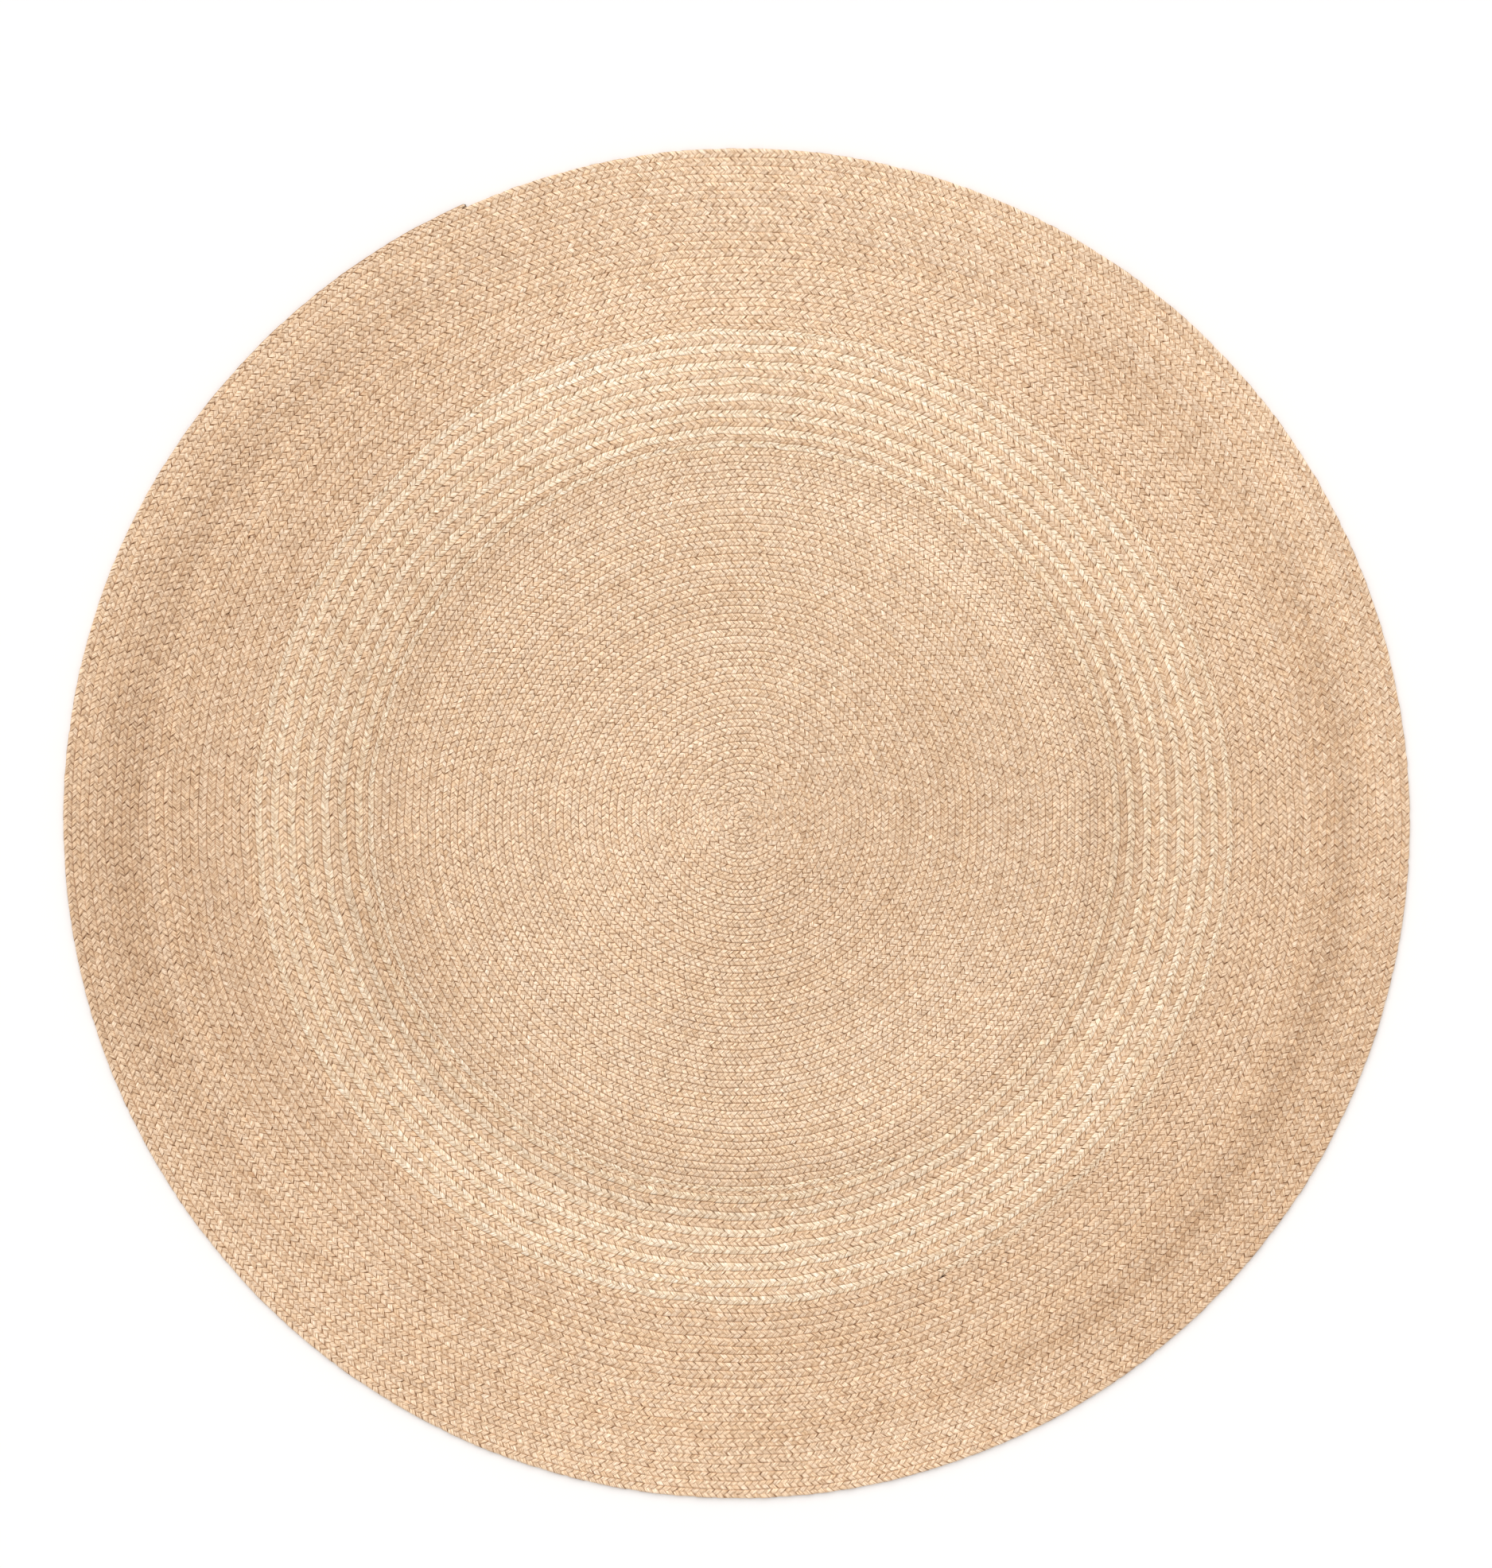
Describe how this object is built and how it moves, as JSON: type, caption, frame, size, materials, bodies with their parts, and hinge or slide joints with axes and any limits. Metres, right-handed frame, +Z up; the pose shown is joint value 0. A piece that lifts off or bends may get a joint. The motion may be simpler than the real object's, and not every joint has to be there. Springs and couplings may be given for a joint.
{
  "type": "area rug",
  "caption": "Round area rug of flat three-strand jute plait, wound in a spiral from the middle and sewn edge to edge, with a second plait wound beside it part of the way.",
  "frame": {"origin": "on the floor plane, under the middle of the rug's outline", "axes": "+Z up, out of the rug's face; +X right and +Y away, as the rug is seen from above with its tail at the upper left"},
  "size_m": [1.9952, 2.001, 0.008],
  "materials": {
    "jute_fine": "matt natural jute fibre, finer plait",
    "jute_broad": "matt natural jute fibre, broader plait",
    "jute_pale": "matt natural jute fibre, a paler batch of the broader plait",
    "sewing_thread": "matt spun polyester sewing thread, jute coloured"
  },
  "bodies": {
    "root": {"plait_length_01": "jute_fine", "plait_length_02": "jute_fine", "plait_length_03": "jute_fine", "plait_length_04": "jute_fine", "plait_length_05": "jute_pale", "plait_length_06": "jute_broad", "plait_length_07": "jute_broad", "plait_length_08": "jute_broad", "plait_length_09": "jute_broad", "plait_length_10": "jute_broad", "companion_plait": "jute_broad", "centre_tack": "sewing_thread", "splice_tack_01": "sewing_thread", "splice_tack_02": "sewing_thread", "splice_tack_03": "sewing_thread", "splice_tack_04": "sewing_thread", "splice_tack_05": "sewing_thread", "splice_tack_06": "sewing_thread", "splice_tack_07": "sewing_thread", "splice_tack_08": "sewing_thread", "splice_tack_09": "sewing_thread", "tail_tack": "sewing_thread"}
  },
  "joints": []
}
